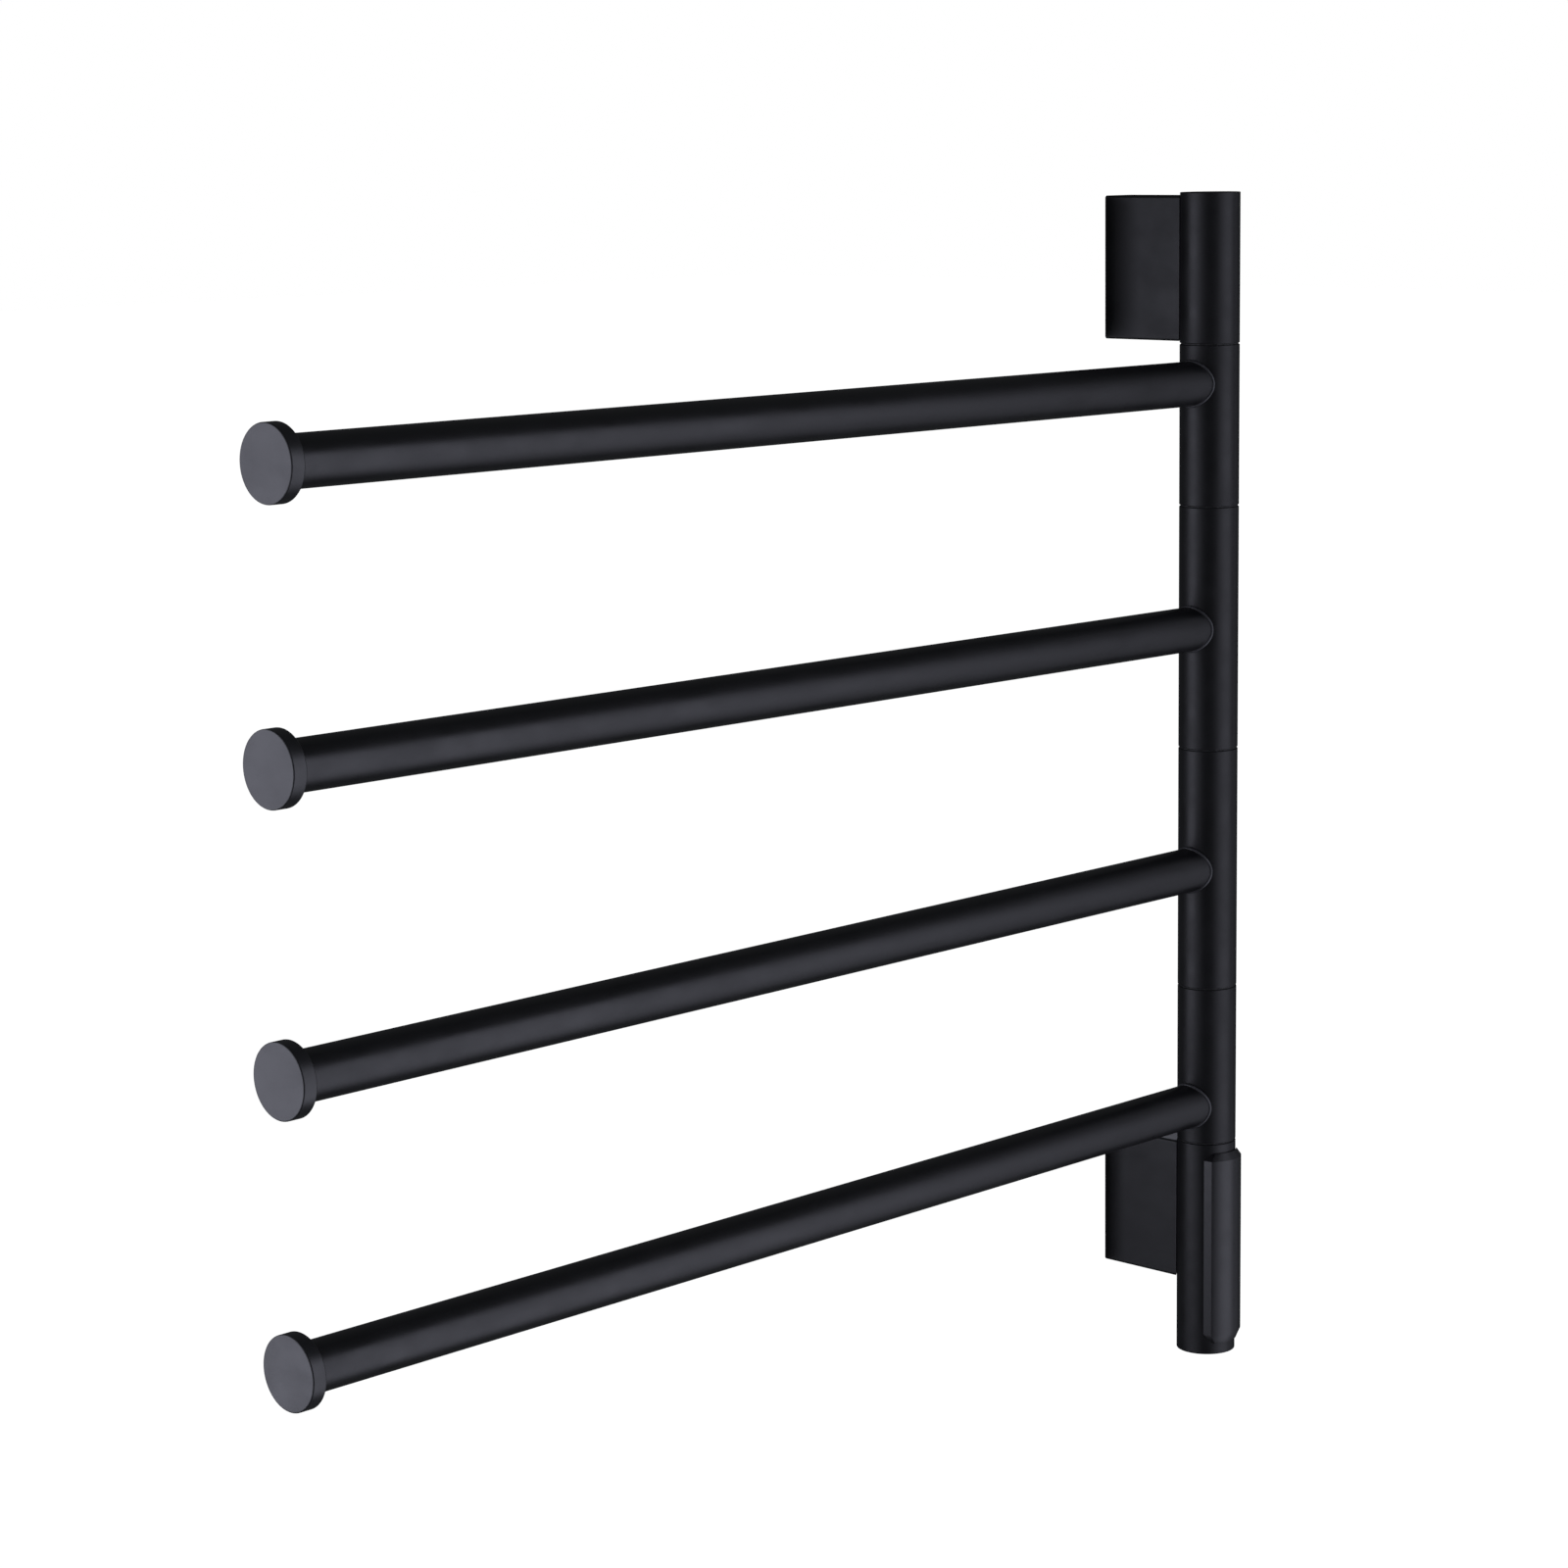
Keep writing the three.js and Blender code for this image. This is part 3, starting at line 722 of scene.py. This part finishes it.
def tongue_tool(foot):
    """The tongue that the set screw bears on, from inside the plate out towards the room."""
    across, deep, high = TONGUE_SIZE
    root = PLATE_THICKNESS / 2
    shape = bmesh.new()
    bmesh.ops.create_cube(shape, size=1)
    place = Matrix.Translation((0, -(root + deep) / 2, foot + TONGUE_LIFT + high / 2))
    sized = Matrix.Diagonal((across, deep - root, high, 1))
    bmesh.ops.transform(shape, matrix=place @ sized, verts=shape.verts)
    return tool_from("tongue", shape)


def plate_piece(name, node):
    """A wall plate with two countersunk holes and the tongue that the set screw bears on."""
    width, height = size(node).x, size(node).z
    level = middle(node).z
    outline = rounded_outline(width, height, PLATE_ROUND)
    shape = bmesh.new()
    back = loop_of(shape, outline, 0, level)
    front = loop_of(shape, outline, PLATE_THICKNESS, level)
    bridge(shape, back, front)
    shape.faces.new(back)
    shape.faces.new(front)
    piece = built(name, shape, slot_of[node])
    foot = level - height / 2
    reshape(piece, tongue_tool(foot), "UNION")
    tongue_top = foot + TONGUE_LIFT + TONGUE_SIZE[2]
    flare = PLATE_THICKNESS - (COUNTERSINK_R - HOLE_R)
    radii = (HOLE_R, HOLE_R, COUNTERSINK_R + CUT_PAST)
    stations = (-CUT_PAST, flare, PLATE_THICKNESS + CUT_PAST)
    for z in (level + height / 2 - HOLE_EDGE, tongue_top + HOLE_EDGE):
        out_of_wall = Matrix.Translation((0, 0, z)) @ Matrix.Rotation(pi / 2, 4, "X")
        reshape(piece, round_tool("wall_hole", radii, stations, out_of_wall), "DIFFERENCE")
    add_bevel(piece, PLATE_EASE)
    return finished(piece, node, "root")


def set_screw_piece(tree, name, node):
    low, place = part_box(node)[0], middle(node)
    values = {
        "Outer Radius": set_screw_r, "Length": size(node).z, "Sides": SET_SCREW_SIDES,
        "Socket Radius": SOCKET_ACROSS / sqrt(3), "Socket Depth": SOCKET_DEPTH,
    }
    piece = grown(name, tree, node, values)
    add_bevel(piece, SET_SCREW_EASE)
    return placed(finished(piece, node, "root"), Matrix.Translation((place.x, place.y, low.z)))


def make_brackets():
    screws = socket_screw_tree()
    for end in ("upper", "lower"):
        block_piece(f"{end}_bracket_block", f"{end}_block", f"{end}_set_screw")
        plate_piece(f"{end}_bracket_plate", f"{end}_wall_plate")
        set_screw_piece(screws, f"{end}_bracket_set_screw", f"{end}_set_screw")


# --- screw cover ------------------------------------------------------------------------------

def cover_section(inset):
    """A curved strip in front of the column, its long edges cut straight back, made smaller by inset."""
    seat_r = column_r + SEAT_GAP
    outer_r = seat_r + COVER_THICKNESS - inset
    middle_width = size("screw_cover").x / 2 - COVER_SIDE_BEVEL * inset
    points = []
    for radius, order, half_width in (
        (outer_r, 1, middle_width - COVER_DRAFT / 2), (seat_r, -1, middle_width + COVER_DRAFT / 2)
    ):
        for i in range(COVER_STEPS + 1):
            x = order * half_width * sin(pi / 2 * (2 * i / COVER_STEPS - 1))
            points.append((x, -sqrt(radius**2 - x**2)))
    return points


def cover_piece():
    """The strip in front of the lower sleeve, with a sloped facet at its head and its foot."""
    node = "screw_cover"
    low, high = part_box(node)
    full_inset = COVER_THICKNESS - COVER_EDGE
    levels = (
        (low.z, full_inset),
        (low.z + COVER_FOOT_BEVEL, 0),
        (high.z - COVER_TOP_BEVEL, 0),
        (high.z, full_inset),
    )
    shape = bmesh.new()
    rings = []
    for z, inset in levels:
        section = cover_section(inset)
        rings.append([shape.verts.new((column_axis.x + x, column_axis.y + y, z)) for x, y in section])
    for first, second in zip(rings, rings[1:]):
        bridge(shape, first, second)
    for ring in (rings[0], rings[-1]):
        last = len(ring) - 1
        for i in range(len(ring) // 2 - 1):
            shape.faces.new((ring[i], ring[i + 1], ring[last - i - 1], ring[last - i]))
    piece = built("screw_cover_strip", shape, COVER_SLOT)
    add_bevel(piece, COVER_EASE)
    return finished(piece, node, "root")


# --- the pieces that stay as they are ---------------------------------------------------------

def coat_kept_nodes():
    """Puts a finish on every solid, as the inner ones stay in the model."""
    for node, solid in frame["nodes"].items():
        solid.data.materials.clear()
        solid.data.materials.append(FINISHES[slot_of[node]])


# --- studio -----------------------------------------------------------------------------------

FLOOR_LEVEL = -1.1  # the rack hangs this high over the floor
FLOOR_SIZE = 60
FLOOR_GLOW = 0.98  # with white paper at 1
AMBIENT = 0.055  # the even light from all round, with white paper at 1
DAYLIGHT = (0.94, 0.95, 1.13)
CENTRE = (cad_low + cad_high) / 2

# name, bearing from straight in front towards the arms, distance from the column, height of its
# middle, width, height, and how bright its face is, with white paper at 1
SOFTBOXES = (
    ("front strip", -18, 1.3, -0.1, 0.9, 2.4, 0.5),
    ("front panel", -11, 1.35, -0.15, 1.78, 3.2, 0.51),
    ("edge strip", -66, 1.35, -0.15, 0.55, 3.2, 0.18),
    ("side panel", 94, 1.3, 0.2, 0.7, 2.0, 0.5),
    ("back softbox", 118, 1.0, 0.18, 0.55, 0.9, 1.35),
    ("bracket top light", -133, 0.45, 0.14, 0.22, 0.16, 0.8),
)
LIT_ALONE = {"bracket top light": "lower_bracket_block"}  # lights that fall on one piece only

# bracket, and how far the card reaches along the wall from the bracket's side
WALL_CARDS = (("upper_block", 21 * MM), ("lower_block", 13 * MM))
CARD_GAP = 0.5 * MM


def pale_floor():
    """A floor that the camera sees as white, and that sheds no light on the rack."""
    bpy.ops.mesh.primitive_plane_add(size=FLOOR_SIZE, location=(0, 0, FLOOR_LEVEL))
    floor = bpy.context.object
    floor.name = "studio_floor"
    material, tree, shader = new_material("pale floor", Roughness=0.9)
    cloud = object_noise(tree, scale=0.8)
    colour = blended(tree, cloud, first=(0.93, 0.93, 0.93), second=(0.97, 0.97, 0.97))
    tree.links.new(colour, shader.inputs["Base Color"])
    shader.inputs["Emission Color"].default_value = (1, 1, 1, 1)
    shader.inputs["Emission Strength"].default_value = FLOOR_GLOW
    floor.data.materials.append(material)
    floor.visible_glossy = False
    floor.visible_diffuse = False


def white_world():
    """White behind the rack, with only a dim even light on it from all round."""
    world = bpy.data.worlds.new("studio")
    world.use_nodes = True
    tree = world.node_tree
    tree.nodes.clear()
    seen = tree.nodes.new("ShaderNodeBackground")
    lit = tree.nodes.new("ShaderNodeBackground")
    pick = tree.nodes.new("ShaderNodeMixShader")
    path = tree.nodes.new("ShaderNodeLightPath")
    out = tree.nodes.new("ShaderNodeOutputWorld")
    seen.inputs["Color"].default_value = (1, 1, 1, 1)
    lit.inputs["Color"].default_value = (0.9, 0.95, 1, 1)
    lit.inputs["Strength"].default_value = AMBIENT
    tree.links.new(path.outputs["Is Camera Ray"], pick.inputs["Fac"])
    tree.links.new(lit.outputs[0], pick.inputs[1])
    tree.links.new(seen.outputs[0], pick.inputs[2])
    tree.links.new(pick.outputs[0], out.inputs["Surface"])
    bpy.context.scene.world = world


def soft_light(name, bearing, distance, height, width, tall, glow):
    """A softbox that stands beside the rack and faces it."""
    light = bpy.data.lights.new(name, "AREA")
    light.shape = "RECTANGLE"
    light.size, light.size_y = width, tall
    light.color = DAYLIGHT
    light.energy = glow * pi * width * tall
    lamp = bpy.data.objects.new(name, light)
    out = Vector((-sin(radians(bearing)), -cos(radians(bearing)), 0))
    lamp.location = column_axis + distance * out + Vector((0, 0, height))
    lamp.rotation_euler = (lamp.location - CENTRE).to_track_quat("Z", "Y").to_euler()
    lamp.visible_camera = False
    bpy.context.scene.collection.objects.link(lamp)
    if name in LIT_ALONE:
        lit = bpy.data.collections.new(name)
        lit.objects.link(bpy.data.objects[LIT_ALONE[name]])
        lamp.light_linking.receiver_collection = lit


def wall_card(block, reach):
    """A dark card on the wall beside a bracket, unseen, that keeps light off its back edge."""
    low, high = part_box(block)
    corners = [
        (x, CARD_GAP, z)
        for x, z in ((low.x, low.z), (low.x, high.z), (low.x - reach, high.z), (low.x - reach, low.z))
    ]
    mesh = bpy.data.meshes.new("wall_card")
    mesh.from_pydata(corners, [], [(0, 1, 2, 3)])
    mesh.materials.append(FINISHES["black_nylon"])
    card = new_piece(f"{block}_wall_card", mesh)
    card.visible_camera = False


def make_camera():
    data = bpy.data.cameras.new("camera")
    data.sensor_fit = "HORIZONTAL"
    data.sensor_width = CAMERA_SENSOR
    data.lens = CAMERA_LENS
    data.clip_start, data.clip_end = 0.01, 100
    camera = bpy.data.objects.new("camera", data)
    away = Vector((-sin(CAMERA_BEARING), -cos(CAMERA_BEARING), 0))
    place = column_axis + CAMERA_DISTANCE * away + Vector((0, 0, column_top + CAMERA_RISE))
    aim = (
        Matrix.Rotation(-CAMERA_HEADING, 4, "Z")
        @ Matrix.Rotation(pi / 2 + CAMERA_PITCH, 4, "X")
        @ Matrix.Rotation(CAMERA_ROLL, 4, "Z")
    )
    camera.matrix_world = Matrix.Translation(place) @ aim
    bpy.context.scene.collection.objects.link(camera)
    bpy.context.scene.camera = camera


def make_studio():
    bpy.context.scene.view_settings.view_transform = "Standard"
    make_camera()
    pale_floor()
    white_world()
    for softbox in SOFTBOXES:
        soft_light(*softbox)
    for card in WALL_CARDS:
        wall_card(*card)


coat_kept_nodes()
make_column()
make_arms()
make_brackets()
cover_piece()
make_studio()
